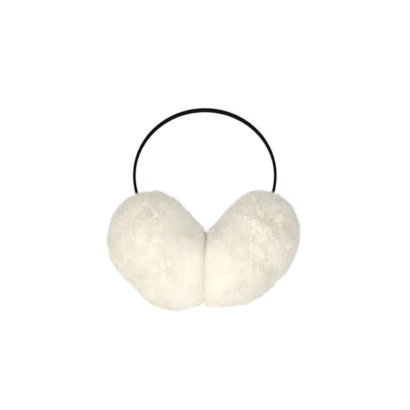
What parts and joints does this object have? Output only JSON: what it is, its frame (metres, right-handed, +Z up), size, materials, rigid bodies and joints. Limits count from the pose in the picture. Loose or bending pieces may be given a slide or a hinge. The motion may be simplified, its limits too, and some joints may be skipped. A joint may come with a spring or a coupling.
{
  "type": "earmuffs",
  "caption": "Fur earmuffs with a thin black sprung headband and deep cream fur pads, lying unworn with the pads sprung together.",
  "frame": {"origin": "bottom centre of the bounding box, on the surface that the pads and the top of the band rest on", "axes": "+Y from the pads towards the top of the band, +X to the right seen from above, +Z up off the surface"},
  "size_m": [0.1738, 0.1848, 0.1043],
  "materials": {
    "black_cloth": "matte black cloth cover",
    "cream_fur": "deep soft cream fur",
    "cream_plush": "short cream plush"
  },
  "bodies": {
    "root": {"headband": "black_cloth", "fur_left": "cream_fur", "fur_right": "cream_fur", "ear_cushion_left": "cream_plush", "ear_cushion_right": "cream_plush"}
  },
  "joints": []
}
